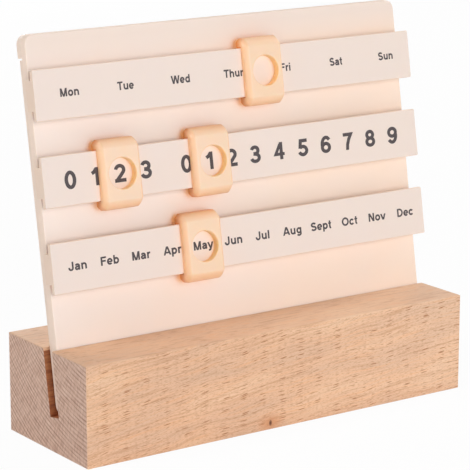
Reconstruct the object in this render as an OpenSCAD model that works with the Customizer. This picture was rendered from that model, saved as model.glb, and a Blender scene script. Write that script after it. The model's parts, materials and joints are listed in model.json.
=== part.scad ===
// Perpetual desk calendar: a cream board leans in the slot of a beech block.
// Three T-section rails on the board carry printed legends, and four windowed
// clips slide along them to frame the weekday, the date's two digits and the month.
//
// Frame: +X along the block to the viewer's right, +Y to the back, +Z up, with the
// origin at the middle of the block's underside. On the board, "up" runs along its
// slant and "forward" stands square to its face.

/* [Wooden base] */
// Length of the block
base_l = 140; // [110:1:200]
// Depth of the block, front to back
base_d = 45; // [40:1:80]
// Height of the block
base_h = 31; // [25:1:50]
// Radius of the sanded arrises
arris_r = 0.4; // [0.2:0.1:1.5]

/* [Slot] */
// Lean of the slot and the board, in degrees back from upright
lean = 9.6; // [0:0.1:12]
// Depth of the slot, measured along its slant
slot_depth = 20; // [12:0.5:24]
// Free play between the board and each wall of the slot
slot_play = 0.3; // [0.1:0.05:0.5]
// Where the board's face leaves the block, forward of the block's middle
face_forward = 3; // [0:0.1:6]

/* [Board] */
// Height of the board above the block, along its slant
board_h = 92.7; // [91:0.1:130]
// Thickness of the whole board
board_t = 4.4; // [4:0.1:7]
// How far each side of the board lies inside the block's end
board_inset = 1.5; // [0.5:0.1:5]
// Radius of the board's four corners
corner_r = 3; // [2:0.1:6]
// Radius of the board's soft edges, front and back
edge_r = 0.35; // [0.2:0.05:0.8]
// Thickness of the front panel behind the rails
web_t = 2; // [1.5:0.1:3]
// How far the front panel's sides draw in towards its face
side_draft = 0.3; // [0:0.1:0.6]
// Height of the front panel's full-thickness top rim
rim_h = 6.9; // [4:0.1:8]
// Gap between the rim and the back panel
cover_gap = 0.6; // [0.3:0.1:1.5]
// How far each side of the back panel lies inside the front panel's side
cover_inset = 0.4; // [0:0.1:1]

/* [Rails] */
// Height of a rail's face
rail_h = 15; // [12:0.1:15.5]
// Thickness of a rail's face strip
rail_t = 1.4; // [1:0.1:2.5]
// Height of the stem that carries the face strip
stem_h = 9; // [6:0.1:9.5]
// Width of the grooves between the face strip and the board
groove_w = 3.1; // [2:0.1:5]
// How far each end of a rail stands past the board's side
rail_overhang = 0.9; // [0:0.1:1.4]
// From the top of the board down to the top rail
top_margin = 10.5; // [9:0.1:14]
// From the block up to the lowest rail
bottom_margin = 16.6; // [8:0.1:17]
// Radius of a rail's long edges and corners
rail_r = 0.35; // [0.1:0.05:0.6]
// Diameter of the locating pegs behind a rail
peg_d = 3; // [2:0.1:5]
// Number of pegs behind a rail
peg_count = 5; // [2:1:8]
// From a rail's end to the middle of its first peg
peg_inset = 9; // [6:0.5:15]
// Diametral clearance of a peg in its hole
peg_play = 0.1; // [0.05:0.05:0.4]

/* [Sliders] */
// Width of a slider, along its rail
slider_w = 14; // [13:0.1:18]
// How far a slider reaches past the rail above and below
slider_wrap = 3; // [2:0.1:3.2]
// Thickness of a slider's front plate
plate_t = 2.4; // [1.6:0.1:4]
// Diameter of the round window
window_d = 9.4; // [6:0.1:11.5]
// Running gap between a slider and its rail
slide_gap = 0.25; // [0.1:0.05:0.5]
// Thickness of the lips that hook behind the rail's face strip
lip_t = 0.8; // [0.7:0.1:1.4]
// Radius of a slider's long front edges, above and below
brow_r = 2.8; // [1.8:0.1:3.2]
// Radius of the edge that runs round each side of a slider
cheek_r = 1.4; // [0.5:0.1:1.7]
// Radius of the window's rim
rim_r = 0.4; // [0.1:0.1:0.8]

/* [Positions along the rails] */
// Middle of the weekday slider
weekday_x = 11; // [-62:0.1:62]
// Middle of the tens slider
tens_x = -43.8; // [-62:0.1:-33.9]
// Middle of the units slider
units_x = -11.4; // [-19.5:0.1:62]
// Middle of the month slider
month_x = -17.4; // [-62:0.1:62]

/* [Hidden] */
$fn = 64;

// A cut runs this far past the faces that it opens
past = 1;

board_w = base_l - 2 * board_inset;
rail_l = board_w + 2 * rail_overhang;
rail_face = groove_w + rail_t;
rail_pitch = (board_h - top_margin - bottom_margin - rail_h) / 2;
month_up = bottom_margin + rail_h / 2;
date_up = month_up + rail_pitch;
weekday_up = date_up + rail_pitch;
peg_step = (rail_l - 2 * peg_inset) / (peg_count - 1);

slider_h = rail_h + 2 * slider_wrap;
slider_face = rail_face + slide_gap + plate_t;
lip_front = groove_w - slide_gap;
lip_back = lip_front - lip_t;

beech = "#e3bd94";
cream = "#f4e3d8";
pale_cream = "#f0e3d9";
apricot = "#f6d2aa";

// ---- Flat outlines ----

// Rectangle centred on the origin, each corner an arc
module rounded_rect(w, h, r) {
    square([w - 2 * r, h], center = true);
    square([w, h - 2 * r], center = true);
    for (sx = [-1, 1], sy = [-1, 1])
        translate([sx * (w / 2 - r), sy * (h / 2 - r)])
            circle(r);
}

// Rectangle from the origin to (w, h) with its corner at (w, h) an arc
module one_soft_corner(w, h, r) {
    square([w - r, h]);
    square([w, h - r]);
    translate([w - r, h - r])
        circle(r);
}

// ---- Placing ----

// Puts a piece drawn on the board in place: X along it, Z up its slant, -Y forward
module on_board(x = 0, up = 0) {
    translate([0, -face_forward, base_h])
        rotate([-lean, 0, 0])
            translate([x, 0, up])
                children();
}

// Runs a section drawn in "forward" and "up" along X for a length l, centred
module along_x(l) {
    translate([-l / 2, 0, 0])
        rotate([90, 0, 0])
            rotate([0, 90, 0])
                linear_extrude(l)
                    mirror([1, 0])
                        children();
}

// ---- Shared solids ----

// Block with all its arrises rounded, standing on z = 0
module eased_block(l, d, h, r) {
    intersection() {
        linear_extrude(h)
            rounded_rect(l, d, r);
        translate([0, d / 2, h / 2])
            rotate([90, 0, 0])
                linear_extrude(d)
                    rounded_rect(l, h, r);
        translate([-l / 2, 0, h / 2])
            rotate([90, 0, 90])
                linear_extrude(l)
                    rounded_rect(d, h, r);
    }
}

// Slab on z = 0 with corners of radius r, whose edge has the section given as its
// child. Each corner is a turned quarter and each side a run of the same section.
module edged_slab(w, h, t, r) {
    translate([-w / 2 + r, -h / 2 + r, 0])
        cube([w - 2 * r, h - 2 * r, t]);
    for (side = [[w, h, 0], [h, w, 90]], turn = [0, 180])
        rotate([0, 0, side[2] + turn])
            translate([side[0] / 2 - r, side[1] / 2 - r, 0])
                rotate([90, 0, 0])
                    linear_extrude(side[1] - 2 * r)
                        children();
    for (sx = [0, 1], sy = [0, 1])
        mirror([sx, 0, 0])
            mirror([0, sy, 0])
                translate([w / 2 - r, h / 2 - r, 0])
                    rotate_extrude(angle = 90)
                        children();
}

// Middles of the pegs behind a rail, along X
function peg_x(i) = -rail_l / 2 + peg_inset + i * peg_step;

// Round bars at a rail's pegs, running back from one depth to another
module peg_bars(up, d, from, to) {
    for (i = [0 : peg_count - 1])
        translate([peg_x(i), from, up])
            rotate([-90, 0, 0])
                cylinder(d = d, h = to - from);
}

// ---- Sub-parts ----

module wooden_base() {
    slot_w = board_t + 2 * slot_play;
    color(beech)
        difference() {
            eased_block(base_l, base_d, base_h, arris_r);
            on_board()
                translate([-base_l / 2 - past, -slot_play, -slot_depth])
                    cube([base_l + 2 * past, slot_w, slot_depth + base_d * sin(lean) + past]);
        }
}

// Slab of the board's outline, w wide, whose face with the soft edge looks forward
module board_slab(w, t) {
    translate([0, 0, (board_h - slot_depth) / 2])
        rotate([90, 0, 0])
            edged_slab(w, board_h + slot_depth, t, corner_r)
                children();
}

// Edge of the front panel: square behind the parting line, drawn in ahead of it
module front_edge() {
    parting = board_t - web_t;
    face_edge = corner_r - side_draft;
    polygon([
        [0, 0], [corner_r, 0], [corner_r, parting],
        [face_edge, board_t - edge_r], [0, board_t - edge_r]
    ]);
    one_soft_corner(face_edge, board_t, edge_r);
}

module front_panel() {
    recess_top = board_h - rim_h;
    color(cream)
        on_board()
            difference() {
                translate([0, board_t, 0])
                    board_slab(board_w, board_t)
                        front_edge();
                translate([-board_w / 2 - past, web_t, -slot_depth - past])
                    cube([board_w + 2 * past, board_t, slot_depth + past + recess_top]);
                for (up = [month_up, date_up, weekday_up])
                    peg_bars(up, peg_d + peg_play, -past, web_t + past);
            }
}

module back_panel() {
    cover_w = board_w - 2 * cover_inset;
    cover_top = board_h - rim_h - cover_gap;
    color(cream)
        on_board()
            intersection() {
                translate([0, web_t, 0])
                    mirror([0, 1, 0])
                        board_slab(cover_w, board_t - web_t)
                            one_soft_corner(corner_r, board_t - web_t, edge_r);
                translate([-board_w / 2, web_t, -slot_depth])
                    cube([board_w, board_t, slot_depth + cover_top]);
            }
}

// T section: the stem stands on the board and carries the face strip
module rail_section() {
    translate([0, -stem_h / 2])
        square([groove_w + rail_r, stem_h]);
    translate([rail_face - rail_t / 2, 0])
        rounded_rect(rail_t, rail_h, rail_r);
}

module rail(up) {
    color(pale_cream)
        on_board(0, up) {
            intersection() {
                along_x(rail_l)
                    rail_section();
                rotate([90, 0, 0])
                    linear_extrude(rail_face)
                        rounded_rect(rail_l, rail_h, rail_r);
            }
            peg_bars(0, peg_d, -groove_w, web_t);
        }
}

// A slider before it is hollowed: a pad on its side, its edge soft all round. It runs
// on behind the lips by one corner radius, which the hollow takes off again.
module slider_blank() {
    depth = slider_face - lip_back + brow_r;
    translate([-slider_w / 2, depth / 2 - slider_face, 0])
        rotate([90, 0, 90])
            edged_slab(depth, slider_h, slider_w, brow_r)
                translate([0, slider_w / 2])
                    for (half = [0, 1])
                        mirror([0, half])
                            one_soft_corner(brow_r, slider_w / 2, cheek_r);
}

// What a slider leaves open: the rail's face strip, the stem between the lips, and
// all that lies behind the lips
module slider_hollow() {
    cavity_h = rail_h + 2 * slide_gap;
    mouth_h = stem_h + 2 * slide_gap;
    translate([lip_front, -cavity_h / 2])
        square([rail_face + slide_gap - lip_front, cavity_h]);
    translate([lip_back - past, -mouth_h / 2])
        square([lip_t + 2 * past, mouth_h]);
    translate([lip_back - brow_r - past, -slider_h / 2 - past])
        square([brow_r + past, slider_h + 2 * past]);
}

// Tool that opens the window and rounds its rim
module window_cutter() {
    ring = window_d / 2 + rim_r;
    rotate([90, 0, 0])
        cylinder(d = window_d, h = slider_face + past);
    translate([0, -slider_face, 0])
        rotate([90, 0, 0])
            rotate_extrude()
                difference() {
                    translate([0, -rim_r])
                        square([ring, rim_r + past]);
                    translate([ring, -rim_r])
                        circle(rim_r);
                }
}

module slider(x, up) {
    color(apricot)
        on_board(x, up)
            difference() {
                slider_blank();
                along_x(slider_w + 2 * past)
                    slider_hollow();
                window_cutter();
            }
}

module weekday_rail() rail(weekday_up);
module date_rail() rail(date_up);
module month_rail() rail(month_up);
module weekday_slider() slider(weekday_x, weekday_up);
module tens_slider() slider(tens_x, date_up);
module units_slider() slider(units_x, date_up);
module month_slider() slider(month_x, month_up);

wooden_base();
front_panel();
back_panel();
weekday_rail();
date_rail();
month_rail();
weekday_slider();
tens_slider();
units_slider();
month_slider();
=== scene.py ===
# %% [markdown]
# # A perpetual desk calendar
#
# A cream board leans in the slot of a beech block. Three rails run across the
# board, each printed with its legends, and four small clips slide along them. The
# clip's round window frames today's weekday, the two digits of the date, and the
# month.
#
# The solids come from the CAD model, already in place and in metres. This lesson
# gives them their surfaces, models the clips again with soft moulded edges, prints
# the legends, and sets up the studio.

import json
import math

import bpy
from mathutils import Matrix, Vector


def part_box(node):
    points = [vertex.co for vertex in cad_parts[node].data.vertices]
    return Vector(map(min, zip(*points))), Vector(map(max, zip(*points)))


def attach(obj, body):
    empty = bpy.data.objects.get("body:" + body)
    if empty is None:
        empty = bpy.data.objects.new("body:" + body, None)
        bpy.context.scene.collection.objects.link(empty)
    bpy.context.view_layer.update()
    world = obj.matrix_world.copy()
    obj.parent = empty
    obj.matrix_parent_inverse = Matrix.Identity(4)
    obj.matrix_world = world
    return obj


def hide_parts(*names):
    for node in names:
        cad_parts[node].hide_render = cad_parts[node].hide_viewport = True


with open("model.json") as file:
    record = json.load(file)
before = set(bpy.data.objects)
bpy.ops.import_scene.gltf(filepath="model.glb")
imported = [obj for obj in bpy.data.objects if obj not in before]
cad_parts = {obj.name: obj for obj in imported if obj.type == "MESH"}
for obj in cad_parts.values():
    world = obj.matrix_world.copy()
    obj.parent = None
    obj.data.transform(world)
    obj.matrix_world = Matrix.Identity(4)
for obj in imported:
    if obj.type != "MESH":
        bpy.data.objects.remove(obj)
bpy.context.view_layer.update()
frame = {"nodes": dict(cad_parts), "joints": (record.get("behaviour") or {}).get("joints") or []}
MM = 0.001
print("pieces:", ", ".join(sorted(frame["nodes"])))


# %% [markdown]
# ## The camera
#
# The product is seen from its front left and from a little above, through a long
# lens, so its edges stay almost parallel. A camera looks along its own -Z, so it is
# first stood up by 90 degrees less its tilt, and then turned about the vertical.

# %% Place the camera
camera_at = Vector((-393.8, -560.5, 219.35)) * MM
camera_tilt = math.radians(13.423)
camera_turn = math.radians(34.929)

bpy.ops.object.camera_add(
    location=camera_at,
    rotation=(math.radians(90) - camera_tilt, 0, -camera_turn),
)
camera = bpy.context.object
camera.data.lens = 175
camera.data.sensor_width = 36
bpy.context.scene.camera = camera
print("camera distance, mm:", round(camera_at.length / MM))


# %% [markdown]
# ## Helpers for materials
#
# Colours are written as the sRGB hex values that a paint chip would have. Shaders
# work with linear light, so one function turns them. A second one adds a node of
# any kind and makes its settings. Plain values go into the inputs that the node
# shows, from the top down, and the rest are given by name. Where a value is another
# node, the first output that it shows is linked. A third starts an empty material.

# %% Colour and node helpers
def linear(hex_colour):
    """An sRGB hex colour as the linear RGBA that a shader works with."""
    channels = [int(hex_colour[i : i + 2], 16) / 255 for i in (1, 3, 5)]
    return tuple(
        c / 12.92 if c <= 0.04045 else ((c + 0.055) / 1.055) ** 2.4 for c in channels
    ) + (1,)


def add_node(tree, kind, *values, inputs=None, stops=(), **settings):
    """Adds a node with its settings, its ramp's (position, colour) stops and its inputs."""
    made = tree.nodes.new("ShaderNode" + kind)
    for name, setting in settings.items():
        setattr(made, name, setting)
    while stops and len(made.color_ramp.elements) < len(stops):
        made.color_ramp.elements.new(0.5)
    for index, (position, colour) in enumerate(stops):
        made.color_ramp.elements[index].position = position
        made.color_ramp.elements[index].color = linear(colour)
    shown = [socket for socket in made.inputs if socket.enabled]
    filled = list(zip(shown, values))
    filled += [(made.inputs[name], value) for name, value in (inputs or {}).items()]
    for socket, value in filled:
        if isinstance(value, bpy.types.Node):
            value = next(output for output in value.outputs if output.enabled)
        if isinstance(value, bpy.types.NodeSocket):
            tree.links.new(value, socket)
        else:
            socket.default_value = value
    return made


def new_material(name):
    """An empty material and its node tree."""
    material = bpy.data.materials.new(name)
    material.use_nodes = True
    material.node_tree.nodes.clear()
    return material, material.node_tree


print("orange as linear light:", [round(c, 3) for c in linear("#f6d2aa")])


# %% [markdown]
# ## Beech
#
# The block is steamed beech: pale, close-grained, and sanded bare. Its grain runs
# along X. On the front, the wood rays show as short dark dashes, a few millimetres
# long. The top shows only fine streaks. The end grain drinks more light, so it is
# greyer, and the growth rings cross it as fine curved lines.
#
# One pattern in three dimensions gives all of this, as in a real log: each face
# shows its own cut through it. Everything is measured in millimetres, and a
# position divided by a cell's size makes a noise of that size, so the pattern has a
# real scale.

# %% Grain coordinates
BLOCK_L = 140
CLIMB = 0.1

beech, tree = new_material("sanded_beech")
coords = add_node(tree, "TexCoord").outputs["Object"]
in_mm = add_node(tree, "VectorMath", coords, 1 / MM, operation="SCALE")
place = add_node(tree, "SeparateXYZ", in_mm)

# The grain climbs to the right: by 8 degrees at the left end, by 3 at the right end.
# A slow noise sways it by about a millimetre.
climb = add_node(tree, "Math", place.outputs["X"], -0.0003, CLIMB, operation="MULTIPLY_ADD")
rise = add_node(tree, "Math", place.outputs["X"], climb, operation="MULTIPLY")
level = add_node(tree, "Math", place.outputs["Z"], rise, operation="SUBTRACT")
sway_cells = add_node(tree, "VectorMath", in_mm, (22, 30, 12), operation="DIVIDE")
sway = add_node(tree, "TexNoise", sway_cells, inputs={"Scale": 1, "Detail": 1})
level = add_node(tree, "Math", sway, 3.5, level, operation="MULTIPLY_ADD")
along_grain = add_node(tree, "CombineXYZ", place.outputs["X"], place.outputs["Y"], level)
print("grain climbs by", round(math.degrees(math.atan(CLIMB)), 1), "degrees at the middle")

# %% Face colour: broad tone, sapwood and streaks
broad_cells = add_node(tree, "VectorMath", along_grain, (45, 20, 9), operation="DIVIDE")
broad = add_node(tree, "TexNoise", broad_cells, inputs={"Scale": 1, "Detail": 3})
face = add_node(
    tree,
    "ValToRGB",
    broad,
    stops=[(0.3, "#dfba9d"), (0.45, "#e6be9f"), (0.55, "#ebc19f"), (0.7, "#f1cbaa")],
)
# Painted light: the face is paler towards the right end, and towards the back, where the board
# shades the top.
painted_light_lift = add_node(
    tree, "Math", place.outputs["X"], 1 / BLOCK_L, 0.5, operation="MULTIPLY_ADD", use_clamp=True
)
painted_light_lift = add_node(
    tree, "Math", place.outputs["Y"], 0.018, painted_light_lift, operation="MULTIPLY_ADD", use_clamp=True
)
painted_light_lift = add_node(tree, "Math", painted_light_lift, 0.5, operation="MULTIPLY")
face = add_node(tree, "Mix", painted_light_lift, face, linear("#fbdabd"), data_type="RGBA")

streak_cells = add_node(tree, "VectorMath", along_grain, (18, 1.2, 0.7), operation="DIVIDE")
streaks = add_node(tree, "TexNoise", streak_cells, inputs={"Scale": 1, "Detail": 4})
streak_tint = add_node(
    tree, "ValToRGB", streaks, stops=[(0.3, "#eadccf"), (0.5, "#ffffff"), (0.7, "#fff4e6")]
)
face = add_node(tree, "Mix", 0.9, face, streak_tint, data_type="RGBA", blend_type="MULTIPLY")
print("streaks about 18 x 0.7 mm")

# %% [markdown]
# ### Pores and rays
#
# Beech has no long open grain lines, as oak has. What the eye catches are its fine
# pores and, on the front, its rays: short dark dashes that lie along the grain. An
# image would repeat and would not meet at the edges, so both are computed. Pores
# are a fine stretched noise. A Voronoi pattern has one heart to a cell, so long low
# cells give dashes, and most cells are left out to scatter them.

# %% Pores, strongest on the front
PORE = (1.1, 0.5, 0.26)
pore_cells = add_node(tree, "VectorMath", along_grain, PORE, operation="DIVIDE")
pores = add_node(tree, "TexNoise", pore_cells, inputs={"Scale": 1, "Detail": 4})
pore_tint = add_node(
    tree, "ValToRGB", pores, stops=[(0.34, "#e2d4c8"), (0.46, "#fdf9f6"), (0.6, "#ffffff")]
)
normal = add_node(tree, "NewGeometry").outputs["Normal"]
facing = add_node(tree, "SeparateXYZ", normal)
on_front = add_node(tree, "Math", facing.outputs["Y"], operation="ABSOLUTE")
on_front = add_node(tree, "Math", on_front, 6, operation="POWER")
on_end = add_node(tree, "Math", facing.outputs["X"], operation="ABSOLUTE")
on_end = add_node(tree, "Math", on_end, 6, operation="POWER")
pore_share = add_node(tree, "Math", on_front, 0.7, 0.2, operation="MULTIPLY_ADD")
face = add_node(
    tree, "Mix", pore_share, face, pore_tint, data_type="RGBA", blend_type="MULTIPLY"
)
print("pores about", PORE[0], "x", PORE[2], "mm")


# %% Ray dashes on the front
def ray_dashes(cell, radius, kept):
    """Short dark dashes: the hearts of stretched cells, with most of them left out."""
    along = add_node(tree, "Math", place.outputs["X"], cell[0], operation="DIVIDE")
    upwards = add_node(tree, "Math", level, cell[1], operation="DIVIDE")
    flat = add_node(tree, "CombineXYZ", along, upwards)
    cells = add_node(
        tree, "TexVoronoi", flat, inputs={"Scale": 1, "Randomness": 1}, voronoi_dimensions="2D"
    )
    reach = add_node(tree, "Math", cells.outputs["Distance"], radius, operation="DIVIDE")
    heart = add_node(tree, "Math", 1, reach, operation="SUBTRACT", use_clamp=True)
    heart = add_node(tree, "Math", heart, 0.35, operation="POWER")
    # Each cell's colour is random, so its red picks which cells keep their dash, and
    # how dark it is.
    chance = add_node(tree, "SeparateColor", cells.outputs["Color"])
    weight = add_node(tree, "Math", chance, 1 - kept, operation="SUBTRACT", use_clamp=True)
    weight = add_node(tree, "Math", weight, 0.7 * kept, operation="DIVIDE")
    return add_node(tree, "Math", heart, weight, operation="MULTIPLY", use_clamp=True)


LONG_CELL = (7, 0.6)
LONG_REACH = 0.2
long_dashes = ray_dashes(LONG_CELL, LONG_REACH, kept=0.42)
fine_dashes = ray_dashes(cell=(3.5, 0.42), radius=0.22, kept=0.4)
dashes = add_node(
    tree, "Math", fine_dashes, 0.6, long_dashes, operation="MULTIPLY_ADD", use_clamp=True
)
# Some rays lie in line, and join into longer hair lines.
hair_cells = add_node(tree, "VectorMath", along_grain, (9, 9, 0.3), operation="DIVIDE")
hairs = add_node(tree, "TexNoise", hair_cells, inputs={"Scale": 1, "Detail": 1})
hairs = add_node(tree, "Math", 0.31, hairs, operation="SUBTRACT", use_clamp=True)
hairs = add_node(tree, "Math", hairs, 7, operation="MULTIPLY", use_clamp=True)
dashes = add_node(tree, "Math", dashes, hairs, operation="MAXIMUM")
dashes = add_node(tree, "Math", dashes, on_front, operation="MULTIPLY")
face = add_node(tree, "Mix", dashes, face, linear("#aa6736"), data_type="RGBA")
print("ray dashes about", round(2 * LONG_CELL[0] * LONG_REACH, 1), "mm long")

# %% [markdown]
# ### End grain
#
# The sawn ends show the growth rings as arcs round the tree's pith. The pith isn't
# in this block: the arcs say that it was above the block and in front of it. So the
# pattern is drawn in polar coordinates round that place. A sine of the distance
# gives the rings, and a noise that is long across the rings gives the rays.

# %% End grain: distances and turns round the pith
PITH = (-33, 78)  # Y and Z, mm
ARC_R = 75  # a turn is measured along a ring of this radius, mm
depth_over = add_node(tree, "Math", place.outputs["Y"], PITH[0], operation="SUBTRACT")
height_over = add_node(tree, "Math", place.outputs["Z"], PITH[1], operation="SUBTRACT")
from_pith = add_node(tree, "CombineXYZ", depth_over, height_over)
radius = add_node(tree, "VectorMath", from_pith, operation="LENGTH")
drop = add_node(tree, "Math", height_over, operation="ABSOLUTE")
turn = add_node(tree, "Math", depth_over, drop, operation="ARCTAN2")
turn = add_node(tree, "Math", turn, ARC_R, operation="MULTIPLY")


def polar_noise(across, along, detail):
    """Noise in cells that measure so many millimetres across and along the rings."""
    outwards = add_node(tree, "Math", radius, across, operation="DIVIDE")
    sideways = add_node(tree, "Math", turn, along, operation="DIVIDE")
    cells = add_node(tree, "CombineXYZ", outwards, sideways)
    return add_node(
        tree, "TexNoise", cells, inputs={"Scale": 1, "Detail": detail}, noise_dimensions="2D"
    )


print("rings run round", PITH)

# %% End grain: rings, and rays across them
RING_GAP = 1.3
wander = add_node(tree, "Math", polar_noise(4, 12, 1), 3, operation="MULTIPLY")
rings = add_node(
    tree, "Math", radius, math.tau / RING_GAP, wander, operation="MULTIPLY_ADD"
)
rings = add_node(tree, "Math", rings, operation="SINE")
rings = add_node(tree, "Math", rings, 0.5, 0.5, operation="MULTIPLY_ADD")
# A power below 1 leaves only thin dark lines, as late wood has.
rings = add_node(tree, "Math", rings, 0.4, operation="POWER")
rings = add_node(tree, "Math", rings, 0.4, operation="MULTIPLY")
rings = add_node(
    tree, "Math", polar_noise(0.5, 6, 2), 0.6, rings, operation="MULTIPLY_ADD", use_clamp=True
)
end_grain = add_node(
    tree,
    "ValToRGB",
    rings,
    stops=[(0.25, "#a9826d"), (0.42, "#caa48f"), (0.58, "#dab6a1"), (0.8, "#e8cbb9")],
)
rays = polar_noise(4, 0.6, 1)
ray_tint = add_node(
    tree, "ValToRGB", rays, stops=[(0.35, "#d6c6c0"), (0.5, "#f2ecea"), (0.65, "#ffffff")]
)
end_grain = add_node(
    tree, "Mix", 0.55, end_grain, ray_tint, data_type="RGBA", blend_type="MULTIPLY"
)
timber = add_node(tree, "Mix", on_end, face, end_grain, data_type="RGBA")
print("ring spacing", RING_GAP, "mm")

# %% [markdown]
# ### The knot and the slot
#
# Low on the front sits one small dark knot in a warm stain. The stain is a ball in
# the wood that is drawn out along the grain, and the knot's heart is a smaller one
# that is narrow along it. The tone fades with the distance from their middle, so
# nothing has an edge. Inside the slot the wood is darker, browner and mottled. A
# Mapping node turns the coordinates to the slot's own axes, and a point is in the
# slot where it lies between its walls and below its mouth.

# %% The knot on the front: a dark heart in a wider stain
KNOT_AT = (-4.9, -22.5, 2.1)
STAIN_R = 3.6
from_knot = add_node(tree, "VectorMath", in_mm, KNOT_AT, operation="SUBTRACT")
stain = add_node(tree, "VectorMath", from_knot, (1.5, 1, 1), operation="DIVIDE")
stain = add_node(tree, "VectorMath", stain, operation="LENGTH")
stain = add_node(tree, "Math", stain, STAIN_R, operation="DIVIDE")
stain = add_node(tree, "Math", 1, stain, operation="SUBTRACT", use_clamp=True)
stain = add_node(tree, "Math", stain, 0.7, operation="MULTIPLY")
timber = add_node(tree, "Mix", stain, timber, linear("#cf8450"), data_type="RGBA")
heart = add_node(tree, "VectorMath", from_knot, (0.6, 1, 1), operation="DIVIDE")
heart = add_node(tree, "VectorMath", heart, operation="LENGTH")
heart = add_node(tree, "Math", 1, heart, operation="SUBTRACT", use_clamp=True)
heart = add_node(tree, "Math", heart, 0.4, operation="POWER")
timber = add_node(tree, "Mix", heart, timber, linear("#4a1e08"), data_type="RGBA")
print("knot at", KNOT_AT)

# %% The inside of the slot, darker and browner
SLOT_MOUTH = (0, -3, 31)
up_slant = Vector(frame["joints"][0]["axis"])
LEAN = math.atan2(up_slant.y, up_slant.z)
from_slot = add_node(
    tree,
    "Mapping",
    in_mm,
    inputs={"Location": SLOT_MOUTH, "Rotation": (-LEAN, 0, 0)},
    vector_type="TEXTURE",
)
slot_place = add_node(tree, "SeparateXYZ", from_slot)
in_width = add_node(tree, "Math", slot_place.outputs["Y"], 2.2, 2.6, operation="COMPARE")
in_depth = add_node(tree, "Math", slot_place.outputs["Z"], -0.15, operation="LESS_THAN")
off_end = add_node(tree, "Math", 1, on_end, operation="SUBTRACT")
in_slot = add_node(tree, "Math", in_width, in_depth, operation="MULTIPLY")
in_slot = add_node(tree, "Math", in_slot, off_end, operation="MULTIPLY")
in_slot = add_node(tree, "Math", in_slot, 0.9, operation="MULTIPLY")
slot_cells = add_node(tree, "VectorMath", from_slot, (6, 6, 0.8), operation="DIVIDE")
slot_mottle = add_node(tree, "TexNoise", slot_cells, inputs={"Scale": 1, "Detail": 2})
slot_brown = add_node(
    tree, "ValToRGB", slot_mottle, stops=[(0.35, "#8f4a20"), (0.5, "#ad6230"), (0.65, "#b8733f")]
)
timber = add_node(tree, "Mix", in_slot, timber, slot_brown, data_type="RGBA")
print("slot leans", round(math.degrees(LEAN), 2), "degrees")

# %% Finish the beech: dashes sink a little, rings stand up a little
ring_relief = add_node(tree, "Math", rings, on_end, operation="MULTIPLY")
ring_relief = add_node(tree, "Math", ring_relief, 0.6, operation="MULTIPLY")
relief = add_node(tree, "Math", dashes, -1, ring_relief, operation="MULTIPLY_ADD")
bump = add_node(
    tree, "Bump", inputs={"Strength": 0.25, "Distance": 0.06 * MM, "Height": relief}
)
shader = add_node(
    tree,
    "BsdfPrincipled",
    inputs={"Base Color": timber, "Roughness": 0.62, "IOR": 1.5, "Normal": bump},
)
add_node(tree, "OutputMaterial", inputs={"Surface": shader})
print("beech has", len(tree.nodes), "nodes")


# %% [markdown]
# ## Moulded plastics
#
# The board, the rails and the clips are injection-moulded ABS with a fine satin
# texture from the mould. ABS lets a little light in before it sends it back, which
# softens its shadows and warms them. Subsurface scattering does that here. The
# texture is a shallow noise at the size of the mould's spark erosion, about a
# fifth of a millimetre. The tone drifts very slightly: paler at a piece's left end,
# warmer at its right end. Faces turned away from the front get a deeper, warmer
# tone, which is painted shade. On the board, the thin web lets a little light through
# from behind, and that light is painted in: the web is lighter and warmer than the
# thick rim. The clips are thin enough for lamplight to come through them as orange,
# which tints their lips, behind the rail, and their shadows. A rough way to show the
# shadows is a coloured transparent shader that only shadow rays see. The lips' darker
# orange is painted shade and painted orange light, and fades in with the distance
# behind the clip's front. The window's wall gets its own stronger orange, as painted
# orange light.

# %% One recipe for the plastics
CLOUD = 30  # size of the slow drift of tone, mm
GRIT = 0.2  # size of the mould's texture, mm
FORWARD = (0, -math.cos(LEAN), math.sin(LEAN))  # out of the board's face
RIM_FOOT = SLOT_MOUTH[2] + 82 * math.cos(LEAN)  # the rim begins 82 mm up the slant
RIM_FADE = 8
DEEP_BELOW = 5.2  # nearer to the board than this, a clip's tone deepens, mm
DEEP_FADE = 2.4


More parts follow.
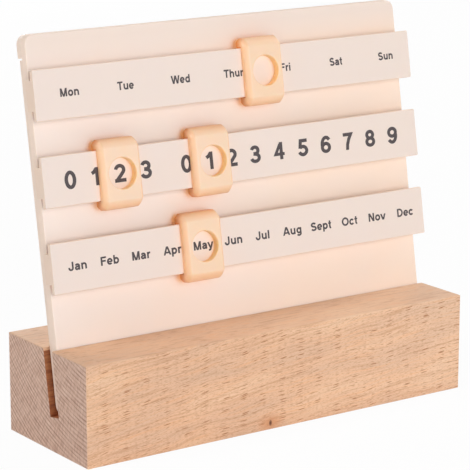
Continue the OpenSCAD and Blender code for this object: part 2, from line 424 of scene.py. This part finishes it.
def moulded_abs(
    name,
    tone,
    drift,
    side_shade_tone,
    glow,
    depth,
    roughness,
    rim_tone=None,
    lip_shade_tone=None,
    shadow_tone=None,
):
    """Satin ABS: two close tones, painted shade on faces turned from the front and far behind
    it, and a mould texture.
    """
    material, tree = new_material(name)
    coords = add_node(tree, "TexCoord").outputs["Object"]
    in_mm = add_node(tree, "VectorMath", coords, 1 / MM, operation="SCALE")
    place = add_node(tree, "SeparateXYZ", in_mm)
    cloud = add_node(tree, "TexNoise", in_mm, inputs={"Scale": 1 / CLOUD, "Detail": 2})
    across = add_node(
        tree, "Math", place.outputs["X"], 1 / BLOCK_L, cloud, operation="MULTIPLY_ADD"
    )
    colour = add_node(tree, "ValToRGB", across, stops=[(0.1, tone), (0.9, drift)])
    # Painted light: the thin web below the rim keeps the lighter, warmer tone, for the light
    # that comes through it from behind.
    if rim_tone:
        on_rim = add_node(tree, "Math", place.outputs["Z"], RIM_FOOT, operation="SUBTRACT")
        on_rim = add_node(tree, "Math", on_rim, RIM_FADE, operation="DIVIDE", use_clamp=True)
        colour = add_node(tree, "Mix", on_rim, colour, linear(rim_tone), data_type="RGBA")
    # Painted shade: faces turned away from the board's front get the deeper side tone.
    normal = add_node(tree, "NewGeometry").outputs["Normal"]
    frontal = add_node(tree, "VectorMath", normal, FORWARD, operation="DOT_PRODUCT")
    frontal = add_node(tree, "Math", frontal, operation="ABSOLUTE")
    frontal = add_node(tree, "Math", frontal, 3, operation="POWER")
    colour = add_node(tree, "Mix", frontal, linear(side_shade_tone), colour, data_type="RGBA")
    # Painted shade: behind the clip's front, its lips and sides fade to a darker orange, for the
    # shade there and the orange light that comes through the plastic.
    if lip_shade_tone:
        from_foot = add_node(tree, "VectorMath", in_mm, SLOT_MOUTH, operation="SUBTRACT")
        out = add_node(tree, "VectorMath", from_foot, FORWARD, operation="DOT_PRODUCT")
        behind = add_node(tree, "Math", DEEP_BELOW, out, operation="SUBTRACT")
        behind = add_node(tree, "Math", behind, DEEP_FADE, operation="DIVIDE", use_clamp=True)
        colour = add_node(tree, "Mix", behind, colour, linear(lip_shade_tone), data_type="RGBA")
    grit = add_node(tree, "TexNoise", in_mm, inputs={"Scale": 1 / GRIT, "Detail": 1})
    bump = add_node(
        tree, "Bump", inputs={"Strength": 0.3, "Distance": 0.01 * MM, "Height": grit}
    )
    surface = add_node(
        tree,
        "BsdfPrincipled",
        inputs={
            "Base Color": colour,
            "Roughness": roughness,
            "IOR": 1.52,
            "Subsurface Weight": glow,
            "Subsurface Radius": (1.0, 0.7, 0.45),
            "Subsurface Scale": depth * MM,
            "Normal": bump,
        },
    )
    if shadow_tone:
        passed = add_node(tree, "BsdfTransparent", linear(shadow_tone))
        rays = add_node(tree, "LightPath")
        surface = add_node(tree, "MixShader", rays.outputs["Is Shadow Ray"], surface, passed)
    add_node(tree, "OutputMaterial", inputs={"Surface": surface})
    return material


print("the board's rim begins at Z", round(RIM_FOOT, 1), "mm")

# %% The board's, the rails' and the clips' plastics
board_abs = moulded_abs(
    "board_abs",
    "#f8e8de",
    "#fee7d5",
    side_shade_tone="#fae3d2",
    glow=0.06,
    depth=0.8,
    roughness=0.5,
    rim_tone="#f4e2d6",
)
rail_abs = moulded_abs(
    "rail_abs",
    "#f1e0d6",
    "#f2e1d6",
    side_shade_tone="#f6dcc8",
    glow=0.1,
    depth=0.8,
    roughness=0.5,
)
clip_abs = moulded_abs(
    "clip_abs",
    "#fddcc1",
    "#fddab9",
    side_shade_tone="#fdca9f",
    glow=0.5,
    depth=1.6,
    roughness=0.36,
    lip_shade_tone="#e8954a",
    shadow_tone="#e8cb9c",
)
# Painted orange light: the wall of the window lies deep in the clip, where the light has turned
# more orange, so it is given a stronger orange of its own.
window_glow_abs = moulded_abs(
    "clip_abs_window_glow",
    "#fdd499",
    "#fdd499",
    side_shade_tone="#fdd499",
    glow=0.5,
    depth=1.6,
    roughness=0.36,
    shadow_tone="#e8cb9c",
)
print("plastics made")

# %% [markdown]
# ## Printing ink
#
# The legends are pad-printed: a film of dark warm grey, a little uneven in its
# cover, and flatter than the plastic under it. Its cover changes about 1.2 times in
# a millimetre.

# %% Make the ink
ink, tree = new_material("pad_print_ink")
coords = add_node(tree, "TexCoord").outputs["Object"]
cover = add_node(tree, "TexNoise", coords, inputs={"Scale": 1.2 / MM, "Detail": 2})
ink_tone = add_node(tree, "ValToRGB", cover, stops=[(0.3, "#403839"), (0.7, "#4f4547")])
shader = add_node(
    tree, "BsdfPrincipled", inputs={"Base Color": ink_tone, "Roughness": 0.6, "IOR": 1.48}
)
add_node(tree, "OutputMaterial", inputs={"Surface": shader})
print("ink made")

# %% [markdown]
# ## Finish the CAD pieces
#
# The block, the two panels and the three rails keep their CAD shape. Each gets its
# material in the slot where its plain one was.

# %% Give the CAD pieces their materials
finishes = {
    "wooden_base": beech,
    "front_panel": board_abs,
    "back_panel": board_abs,
    "weekday_rail": rail_abs,
    "date_rail": rail_abs,
    "month_rail": rail_abs,
}
for node_name, material in finishes.items():
    for material_slot in frame["nodes"][node_name].material_slots:
        material_slot.material = material
print("finished", len(finishes), "CAD pieces")

# %% [markdown]
# ## Laying pieces on the board
#
# A new piece is modelled flat, with X along the board, Y up its slant and Z
# standing out of its face. One matrix tips it up to the board's lean and carries it
# to the slot's mouth, where the board's face leaves the block.

# %% The board's own axes
tip_up = Matrix.Rotation(math.radians(90) - LEAN, 4, "X")
ON_BOARD = Matrix.Translation(Vector(SLOT_MOUTH) * MM) @ tip_up


def lay_on_board(piece, x, up, out):
    """Carries a flat piece to its place on the board and writes the place into its mesh."""
    offset = Matrix.Translation(Vector((x, up, out)) * MM)
    piece.data.transform(ON_BOARD @ offset @ piece.matrix_world)
    piece.matrix_world = Matrix.Identity(4)


print("board's foot at", SLOT_MOUTH)

# %% [markdown]
# ## The sliding clips
#
# Each clip is one small moulding. Its plate lies over the rail, wraps round above
# and below, and ends in two lips behind the rail's face strip. It starts as a
# block: the two long front edges are rounded first and widest, and then the edge
# that runs all round each side, so that the corners flow together. Booleans cut
# the rail's T out of its back and the window out of its plate, and a small bevel
# softens the window's rim.

# %% The clip's sizes
CLIP_W = 14
CLIP_H = 21
LIP_BACK = 2.05
LIP_FRONT = 2.85
CLIP_BACK = 4.75
CLIP_FACE = 7.15
CAVITY_H = 15.5
MOUTH_H = 9.5
WINDOW_D = 9.4
BROW_R = 2.8
BROW_PROFILE = 0.38
CHEEK_R = 1.4
CHEEK_PROFILE = 0.34
RIM_R = 0.4
print("clip", CLIP_W, "x", CLIP_H, "x", round(CLIP_FACE - LIP_BACK, 2), "mm")


# %% Tools for the clip
def select_only(piece):
    """Makes a piece the only selected one, and the active one."""
    bpy.ops.object.select_all(action="DESELECT")
    piece.select_set(True)
    bpy.context.view_layer.objects.active = piece


def add_block(name, size, centre):
    """A box of a size at a centre, both in millimetres."""
    bpy.ops.object.select_all(action="DESELECT")
    bpy.ops.mesh.primitive_cube_add(size=1, location=Vector(centre) * MM)
    block = bpy.context.object
    block.name = name
    block.scale = Vector(size) * MM
    bpy.ops.object.transform_apply(location=True, rotation=True, scale=True)
    return block


def bevel_edges(piece, wanted, radius, segments, profile=0.5):
    """Rounds the edges whose two ends pass a test; a low profile is nearly a chamfer."""
    select_only(piece)
    bpy.ops.object.mode_set(mode="EDIT")
    bpy.ops.mesh.select_mode(type="EDGE")
    bpy.ops.mesh.select_all(action="DESELECT")
    bpy.ops.object.mode_set(mode="OBJECT")
    points = piece.data.vertices
    for edge in piece.data.edges:
        first, second = (points[i].co / MM for i in edge.vertices)
        edge.select = wanted(first, second)
    bpy.ops.object.mode_set(mode="EDIT")
    bpy.ops.mesh.bevel(
        offset=radius * MM, segments=segments, profile=profile, affect="EDGES"
    )
    bpy.ops.object.mode_set(mode="OBJECT")


def cut_with(piece, cutter):
    """Takes a cutter's shape out of a piece and removes the cutter."""
    select_only(piece)
    cut = piece.modifiers.new("cut", "BOOLEAN")
    cut.operation = "DIFFERENCE"
    cut.solver = "EXACT"
    cut.object = cutter
    bpy.ops.object.modifier_apply(modifier=cut.name)
    bpy.data.objects.remove(cutter)


def near(value, target):
    """True where a measure in millimetres is at a target."""
    return abs(value - target) < 0.01


print("tools ready: block, bevel and cut")

# %% Round a block's front and side edges
clip = add_block(
    "clip",
    (CLIP_W, CLIP_H, CLIP_FACE - LIP_BACK),
    (0, 0, (CLIP_FACE + LIP_BACK) / 2),
)
bevel_edges(
    clip,
    lambda a, b: near(a.z, CLIP_FACE) and near(b.z, CLIP_FACE) and near(a.y, b.y),
    BROW_R,
    12,
    profile=BROW_PROFILE,
)
bevel_edges(
    clip,
    lambda a, b: near(abs(a.x), CLIP_W / 2)
    and near(a.x, b.x)
    and not (near(a.z, LIP_BACK) and near(b.z, LIP_BACK)),
    CHEEK_R,
    8,
    profile=CHEEK_PROFILE,
)
print("clip blank has", len(clip.data.polygons), "faces")

# %% Cut the rail's T and the window out of it
CUT_W = CLIP_W + 2
rail_room = add_block(
    "rail_room",
    (CUT_W, CAVITY_H, CLIP_BACK - LIP_FRONT),
    (0, 0, (CLIP_BACK + LIP_FRONT) / 2),
)
cut_with(clip, rail_room)
stem_room = add_block("stem_room", (CUT_W, MOUTH_H, 3), (0, 0, LIP_FRONT - 1))
cut_with(clip, stem_room)

bpy.ops.object.select_all(action="DESELECT")
bpy.ops.mesh.primitive_cylinder_add(
    vertices=96,
    radius=WINDOW_D / 2 * MM,
    depth=6 * MM,
    location=(0, 0, CLIP_FACE * MM),
)
cut_with(clip, bpy.context.object)
bevel_edges(
    clip,
    lambda a, b: near(a.z, CLIP_FACE)
    and near(b.z, CLIP_FACE)
    and near(a.xy.length, WINDOW_D / 2)
    and near(b.xy.length, WINDOW_D / 2),
    RIM_R,
    5,
)
print("clip has", len(clip.data.polygons), "faces")

# %% Smooth it, copy it and slide each copy to its place
select_only(clip)
bpy.ops.object.shade_smooth_by_angle(angle=math.radians(35))
even = clip.modifiers.new("even_shading", "WEIGHTED_NORMAL")
even.keep_sharp = True
bpy.ops.object.modifier_apply(modifier=even.name)
clip.data.materials.append(clip_abs)
clip.data.materials.append(window_glow_abs)
# The window's wall takes the material with the painted orange light.
for polygon in clip.data.polygons:
    reach = polygon.center.xy.length / MM
    polygon.material_index = int(reach < WINDOW_D / 2 + 0.1 and abs(polygon.normal.z) < 0.6)

MONTH_UP = 24.1
DATE_UP = 49.4
WEEKDAY_UP = 74.7
places = {
    "weekday": WEEKDAY_UP,
    "tens": DATE_UP,
    "units": DATE_UP,
    "month": MONTH_UP,
}
for role, up in places.items():
    low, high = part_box(role + "_slider")
    middle = (low.x + high.x) / 2 / MM
    copy = clip.copy()
    copy.data = clip.data.copy()
    copy.name = role + "_clip"
    bpy.context.scene.collection.objects.link(copy)
    lay_on_board(copy, middle, up, 0)
    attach(copy, role + "_marker")
    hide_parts(role + "_slider")
    print(copy.name, "at", round(middle, 1))
bpy.data.objects.remove(clip)


# %% [markdown]
# ## The legends
#
# A perpetual calendar needs seven weekdays, the digits 0 to 3 and 0 to 9 for the
# date, and twelve months. Blender's own typeface is thin and narrow, and thickening
# it closes its corners. So a plain bold letter is drawn here as a sign writer would
# draw it, with one broad pen. Each character is a few pen lines and rings, in units
# of the capital's height. A line becomes a flat closed curve, and then a film of
# ink with a real thickness. All the lines of one rail are united, so that nothing
# overlaps. The outline of one pen line must not cross itself, or the union leaves
# open edges.

# %% The pen
NIB = 0.18


def arc(cx, cy, rx, ry, start, end):
    """Points along part of an oval, anticlockwise where the end angle is larger."""
    steps = max(2, round(abs(end - start) / 15))
    turns = [math.radians(start + (end - start) * i / steps) for i in range(steps + 1)]
    return [(cx + rx * math.cos(t), cy + ry * math.sin(t)) for t in turns]


def ring(cx, cy, rx, ry):
    """A closed oval pen line."""
    return "ring", arc(cx, cy, rx, ry, 0, 360)[:-1], NIB


def bend(*points, nib=NIB):
    """A pen line whose ends are cut square."""
    return "square", points, nib


def bar(*points, nib=NIB):
    """A pen line whose ends are cut level."""
    return "level", points, nib


def edge_of(cut, points, half):
    """One side of a pen line: its points moved out by half the nib, mitred at corners."""
    path = [Vector(p) for p in points]
    last = len(path) - 1
    runs = [(path[(i + 1) % len(path)] - path[i]).normalized() for i in range(len(path))]
    side = []
    for i, here in enumerate(path):
        after = runs[i] if cut == "ring" or i < last else runs[i - 1]
        before = runs[i - 1] if cut == "ring" or i > 0 else after
        out_before = Vector((-before.y, before.x))
        out_after = Vector((-after.y, after.x))
        moved = here + (out_before + out_after) * half / (1 + out_before.dot(out_after))
        if cut == "level" and i in (0, last):
            run = after if i == 0 else before
            if abs(run.y) > 0.3:  # a flat line keeps its square end
                moved -= run * (moved.y - here.y) / run.y
        side.append(moved)
    return side


print("the pen is", NIB, "of a capital's height")

# %% The digits: each character has a width and its pen lines
GLYPHS = {
    "0": (0.78, [ring(0.39, 0.5, 0.235, 0.41)]),
    "1": (0.78, [bar((0.45, 0), (0.45, 1)), bend((0.15, 0.68), (0.3, 0.76), (0.42, 0.93))]),
    "2": (0.78, [
        bar((0.05, 0.09), (0.72, 0.09)),
        bend(*arc(0.38, 0.68, 0.235, 0.225, 172, -30), (0.42, 0.37), (0.17, 0.1)),
    ]),
    "3": (0.78, [
        bend(*arc(0.375, 0.71, 0.205, 0.195, 165, -65), (0.28, 0.53)),
        bend((0.28, 0.53), *arc(0.375, 0.3, 0.245, 0.21, 60, -168)),
    ]),
    "4": (0.78, [
        bar((0.53, 0), (0.53, 1)),
        bar((0.49, 0.93), (0.16, 0.31), (0.74, 0.31), nib=0.16),
    ]),
    "5": (0.78, [
        bar((0.68, 0.91), (0.26, 0.91), (0.2, 0.46)),
        bend(*arc(0.38, 0.33, 0.245, 0.235, 138, -162)),
    ]),
    "6": (0.78, [
        ring(0.395, 0.325, 0.235, 0.23),
        bend(*arc(0.43, 0.5, 0.27, 0.41, 38, 190)),
    ]),
    "7": (0.78, [
        bar((0.07, 0.91), (0.6, 0.91), (0.44, 0.62), (0.34, 0.32), (0.31, 0)),
    ]),
    "8": (0.78, [ring(0.39, 0.71, 0.2, 0.195), ring(0.39, 0.305, 0.235, 0.21)]),
    "9": (0.78, [
        ring(0.385, 0.675, 0.235, 0.23),
        bend(*arc(0.35, 0.5, 0.27, 0.41, 10, -142)),
    ]),
}
print(len(GLYPHS), "digits drawn")

# %% The capitals
GLYPHS |= {
    "A": (1.0, [
        bar((0.11, 0), (0.485, 1)),
        bar((0.89, 0), (0.515, 1)),
        bar((0.24, 0.29), (0.76, 0.29), nib=0.16),
    ]),
    "D": (1.0, [
        bar((0.2, 0), (0.2, 1)),
        bend((0.2, 0.915), (0.43, 0.915), *arc(0.43, 0.5, 0.4, 0.415, 85, -85),
             (0.43, 0.085), (0.2, 0.085), nib=0.17),
    ]),
    "F": (0.85, [
        bar((0.2, 0), (0.2, 1)),
        bar((0.2, 0.915), (0.8, 0.915), nib=0.17),
        bar((0.2, 0.52), (0.73, 0.52), nib=0.17),
    ]),
    "J": (0.78, [bend((0.58, 1), *arc(0.345, 0.32, 0.235, 0.24, 0, -192))]),
    "M": (1.16, [
        bar((0.195, 0), (0.195, 1)),
        bar((0.965, 0), (0.965, 1)),
        bar((0.23, 1), (0.555, 0), nib=0.17),
        bar((0.93, 1), (0.605, 0), nib=0.17),
    ]),
    "N": (1.0, [
        bar((0.195, 0), (0.195, 1)),
        bar((0.81, 0), (0.81, 1)),
        bar((0.215, 1), (0.79, 0)),
    ]),
    "O": (1.09, [ring(0.545, 0.5, 0.4, 0.415)]),
    "S": (0.93, [
        bend(*arc(0.46, 0.715, 0.275, 0.2, 22, 235), *arc(0.475, 0.29, 0.3, 0.205, 60, -160)),
    ]),
    "T": (0.85, [bar((0.427, 0), (0.427, 0.95)), bar((0.03, 0.915), (0.82, 0.915), nib=0.17)]),
    "W": (1.32, [
        bar((0.105, 1), (0.36, 0)),
        bar((0.645, 1), (0.39, 0)),
        bar((0.675, 1), (0.93, 0)),
        bar((1.215, 1), (0.96, 0)),
    ]),
}
print(len(GLYPHS), "digits and capitals drawn")

# %% The small letters
GLYPHS |= {
    "a": (0.78, [
        bend(*arc(0.37, 0.46, 0.225, 0.175, 160, 5), (0.6, 0.12), (0.63, 0)),
        bend((0.58, 0.43), (0.42, 0.39), *arc(0.315, 0.225, 0.17, 0.145, 95, 290), (0.58, 0.21),
             nib=0.17),
    ]),
    "b": (0.85, [bar((0.19, 0), (0.19, 1)), ring(0.435, 0.365, 0.25, 0.275)]),
    "c": (0.78, [bend(*arc(0.405, 0.365, 0.265, 0.28, 38, 322))]),
    "d": (0.85, [bar((0.665, 0), (0.665, 1)), ring(0.42, 0.365, 0.25, 0.275)]),
    "e": (0.78, [
        bar((0.16, 0.35), (0.7, 0.35), nib=0.14),
        bend(*arc(0.39, 0.365, 0.26, 0.28, -3, 318)),
    ]),
    "g": (0.85, [
        ring(0.42, 0.375, 0.25, 0.265),
        bend((0.665, 0.73), *arc(0.415, -0.03, 0.25, 0.16, 0, -160)),
    ]),
    "h": (0.85, [
        bar((0.19, 0), (0.19, 1)),
        bend(*arc(0.43, 0.42, 0.24, 0.22, 165, 0), (0.67, 0)),
    ]),
    "i": (0.39, [bar((0.195, 0), (0.195, 0.73)), bar((0.195, 0.83), (0.195, 1))]),
    "l": (0.39, [bar((0.195, 0), (0.195, 1))]),
    "n": (0.85, [
        bar((0.19, 0), (0.19, 0.73)),
        bend(*arc(0.43, 0.42, 0.24, 0.22, 165, 0), (0.67, 0)),
    ]),
    "o": (0.85, [ring(0.427, 0.365, 0.27, 0.28)]),
    "p": (0.85, [bar((0.19, -0.28), (0.19, 0.73)), ring(0.435, 0.365, 0.25, 0.275)]),
    "r": (0.54, [
        bar((0.19, 0), (0.19, 0.73)),
        bend(*arc(0.44, 0.41, 0.25, 0.23, 165, 75)),
    ]),
    "t": (0.47, [
        bend((0.24, 0.96), *arc(0.37, 0.22, 0.13, 0.135, 180, 285)),
        bar((0.03, 0.655), (0.44, 0.655), nib=0.15),
    ]),
    "u": (0.85, [
        bar((0.665, 0), (0.665, 0.73)),
        bend((0.185, 0.73), *arc(0.425, 0.31, 0.24, 0.22, 180, 345)),
    ]),
    "v": (0.78, [bar((0.095, 0.73), (0.375, 0)), bar((0.685, 0.73), (0.405, 0))]),
    "y": (0.78, [
        bar((0.095, 0.73), (0.39, 0)),
        bar((0.69, 0.73), (0.43, 0.02), (0.37, -0.12), (0.28, -0.19), (0.12, -0.19)),
    ]),
}
print(len(GLYPHS), "characters drawn")

# %% Draw one pen line
INK_T = 0.03


def pen_curve(cut, points, nib, corner, size, weight):
    """One pen line as a flat filled curve, with the character's corner and size in mm."""
    curve = bpy.data.curves.new("pen_line", "CURVE")
    curve.dimensions = "2D"
    curve.fill_mode = "BOTH"
    curve.extrude = INK_T / 2 * MM
    left = edge_of(cut, points, nib * weight / 2)
    right = edge_of(cut, points, -nib * weight / 2)
    for outline in [left, right] if cut == "ring" else [left + right[::-1]]:
        spline = curve.splines.new("POLY")
        spline.points.add(len(outline) - 1)
        for point, spot in zip(spline.points, outline):
            point.co = (*((corner + spot * size) * MM), 0, 1)
        spline.use_cyclic_u = True
    line = bpy.data.objects.new("pen_line", curve)
    bpy.context.scene.collection.objects.link(line)
    return line


print("ink", INK_T, "mm thick")

# %% Print a rail
RAIL_FACE = 4.5
INK_MIDDLE = RAIL_FACE + 0.005


def print_rail(name, words, up, cap, wide, weight):
    """Prints (word, centre) pairs at a height up the board; cap is a capital's height."""
    size = Vector((cap * wide, cap))
    lines = []
    for word, middle in words:
        pen_x = middle - sum(GLYPHS[letter][0] for letter in word) * size.x / 2
        for letter in word:
            advance, pen_lines = GLYPHS[letter]
            corner = Vector((pen_x, -cap / 2))
            lines += [pen_curve(*line, corner, size, weight) for line in pen_lines]
            pen_x += advance * size.x
    select_only(lines[0])
    for line in lines:
        line.select_set(True)
    bpy.ops.object.convert(target="MESH")
    bpy.ops.object.join()
    printed = bpy.context.object
    printed.name = name
    bpy.ops.object.mode_set(mode="EDIT")
    bpy.ops.mesh.select_all(action="SELECT")
    bpy.ops.mesh.remove_doubles(threshold=0.0001 * MM)
    bpy.ops.mesh.normals_make_consistent(inside=False)
    bpy.ops.mesh.intersect_boolean(operation="UNION", use_self=True, solver="EXACT")
    bpy.ops.object.mode_set(mode="OBJECT")
    lay_on_board(printed, 0, up, INK_MIDDLE)
    printed.data.materials.append(ink)
    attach(printed, "panel")
    print(name, "has", len(printed.data.polygons), "faces")


print("the ink's middle stands", INK_MIDDLE, "mm out from the board")

# %% Weekdays, date digits and months
DAYS = "Mon Tue Wed Thur Fri Sat Sun".split()
MONTHS = "Jan Feb Mar Apr May Jun Jul Aug Sept Oct Nov Dec".split()
DAYS_AT = [-57.6, -38.3, -18.75, 0.6, 20.2, 39.8, 59.75]
print_rail(
    "weekday_legend", zip(DAYS, DAYS_AT), WEEKDAY_UP + 0.2, cap=2.45, wide=0.96, weight=1.2
)
TENS_AT = [-60.3, -51.5, -43.2, -34.1]
UNITS_AT = [-19.6, -10.9, -3.0, 5.8, 14.8, 24.0, 32.9, 41.8, 50.6, 59.7]
print_rail(
    "date_legend",
    [(str(i), x) for centres in (TENS_AT, UNITS_AT) for i, x in enumerate(centres)],
    DATE_UP,
    cap=5.35,
    wide=1.1,
    weight=1.12,
)
MONTHS_AT = [
    -60.8, -49.8, -38.85, -27.65, -16.5, -5.25, 5.7, 17.05, 28.15, 39.5, 50.5, 62.05
]
print_rail(
    "month_legend", zip(MONTHS, MONTHS_AT), MONTH_UP + 0.2, cap=2.6, wide=1.04, weight=1.2
)

# %% [markdown]
# ## The studio
#
# The product stands on white paper in soft light from the front. The camera sees
# the paper and the backdrop as plain white, with only the block's faint contact
# shadow. The light itself comes from one large softbox, a weaker one over each end,
# one behind that shows the board's back, and a pale surround.

# %% Paper floor
def seen_rays(tree):
    """1 where the camera looks, straight, by a reflection or through something clear."""
    rays = add_node(tree, "LightPath")
    seen = add_node(
        tree,
        "Math",
        rays.outputs["Is Camera Ray"],
        rays.outputs["Is Glossy Ray"],
        operation="MAXIMUM",
    )
    return add_node(
        tree, "Math", seen, rays.outputs["Is Transmission Ray"], operation="MAXIMUM"
    )


WHITE = linear("#ffffff")
bpy.ops.object.select_all(action="DESELECT")
bpy.ops.mesh.primitive_plane_add(size=6)
floor = bpy.context.object
floor.name = "paper_floor"
paper, tree = new_material("white_paper")
lit = add_node(tree, "BsdfDiffuse", linear("#fafafa"))
plain = add_node(tree, "Emission", inputs={"Color": WHITE, "Strength": 1})
white_share = add_node(tree, "Math", seen_rays(tree), 0.95, operation="MULTIPLY")
surface = add_node(tree, "MixShader", white_share, lit, plain)
add_node(tree, "OutputMaterial", inputs={"Surface": surface})
floor.data.materials.append(paper)
print("paper floor ready")

# %% Surround
world = bpy.data.worlds.new("studio")
bpy.context.scene.world = world
world.use_nodes = True
tree = world.node_tree
tree.nodes.clear()
surround = add_node(tree, "Background", inputs={"Color": WHITE, "Strength": 0.13})
backdrop = add_node(tree, "Background", inputs={"Color": WHITE, "Strength": 1})
sky = add_node(tree, "MixShader", seen_rays(tree), surround, backdrop)
add_node(tree, "OutputWorld", inputs={"Surface": sky})
print("surround ready")


# %% Softboxes
LAMP_TARGET = Vector((0, 0, 0.055))


def add_softbox(name, at, size, power):
    """A square area lamp that looks at the middle of the product."""
    at = Vector(at)
    bpy.ops.object.light_add(type="AREA", location=at)
    lamp = bpy.context.object
    lamp.name = name
    lamp.rotation_euler = (LAMP_TARGET - at).to_track_quat("-Z", "Y").to_euler()
    lamp.data.shape = "SQUARE"
    lamp.data.size = size
    lamp.data.energy = power


add_softbox("front_softbox", at=(0.0, -1.45, 0.32), size=1.0, power=15.8)
add_softbox("left_softbox", at=(-1.1, 0.08, 0.9), size=0.5, power=7.5)
add_softbox("right_softbox", at=(1.1, 0.1, 0.9), size=0.5, power=6.0)
add_softbox("back_softbox", at=(0.25, 1.35, 0.18), size=0.8, power=9.0)
bpy.context.scene.view_settings.view_transform = "Standard"
print("softboxes ready")
